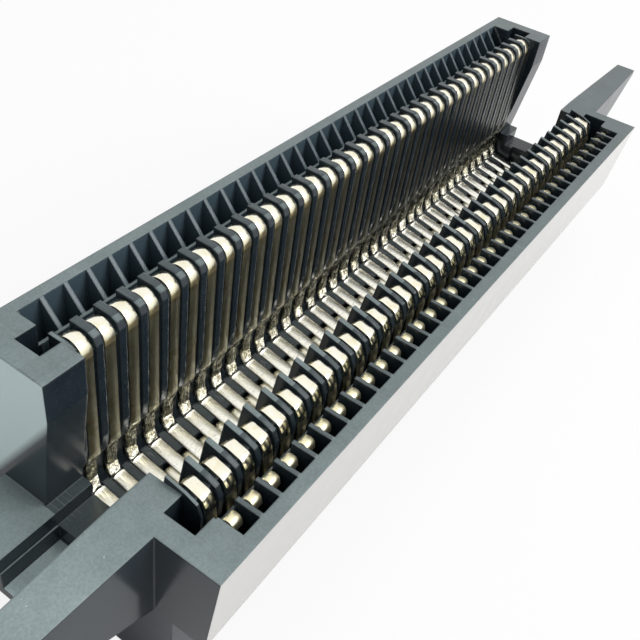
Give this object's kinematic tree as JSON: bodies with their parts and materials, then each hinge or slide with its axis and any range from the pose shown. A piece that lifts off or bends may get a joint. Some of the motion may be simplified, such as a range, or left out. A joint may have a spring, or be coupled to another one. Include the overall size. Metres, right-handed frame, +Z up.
{
  "type": "card edge connector",
  "caption": "Long dark connector with an open card trough between a short and a tall comb wall, gold spring contacts hooked over both, and a slot below for a board's edge.",
  "frame": {"origin": "middle of the underside, at the bottom centre of the whole part", "axes": "+X along the rows of contacts, away from the end with the ear; +Y from the short wall to the tall wall; +Z up, out of the card trough"},
  "size_m": [0.1418, 0.0258, 0.0295],
  "materials": {
    "housing_plastic": "dark blue-black moulded plastic, glossy with fine marks",
    "contact_gold": "thin pale gold plating on bent spring strip, brushed in places"
  },
  "bodies": {
    "root": {"housing": "housing_plastic", "short_side_contacts_01": "contact_gold", "short_side_contacts_02": "contact_gold", "short_side_contacts_03": "contact_gold", "short_side_contacts_04": "contact_gold", "short_side_contacts_05": "contact_gold", "short_side_contacts_06": "contact_gold", "short_side_contacts_07": "contact_gold", "short_side_contacts_08": "contact_gold", "short_side_contacts_09": "contact_gold", "short_side_contacts_10": "contact_gold", "short_side_contacts_11": "contact_gold", "short_side_contacts_12": "contact_gold", "short_side_contacts_13": "contact_gold", "short_side_contacts_14": "contact_gold", "short_side_contacts_15": "contact_gold", "short_side_contacts_16": "contact_gold", "short_side_contacts_17": "contact_gold", "short_side_contacts_18": "contact_gold", "tall_side_contacts_01": "contact_gold", "tall_side_contacts_02": "contact_gold", "tall_side_contacts_03": "contact_gold", "tall_side_contacts_04": "contact_gold", "tall_side_contacts_05": "contact_gold", "tall_side_contacts_06": "contact_gold", "tall_side_contacts_07": "contact_gold", "tall_side_contacts_08": "contact_gold", "tall_side_contacts_09": "contact_gold", "tall_side_contacts_10": "contact_gold", "tall_side_contacts_11": "contact_gold", "tall_side_contacts_12": "contact_gold", "tall_side_contacts_13": "contact_gold", "tall_side_contacts_14": "contact_gold", "tall_side_contacts_15": "contact_gold", "tall_side_contacts_16": "contact_gold", "tall_side_contacts_17": "contact_gold", "tall_side_contacts_18": "contact_gold"}
  },
  "joints": []
}
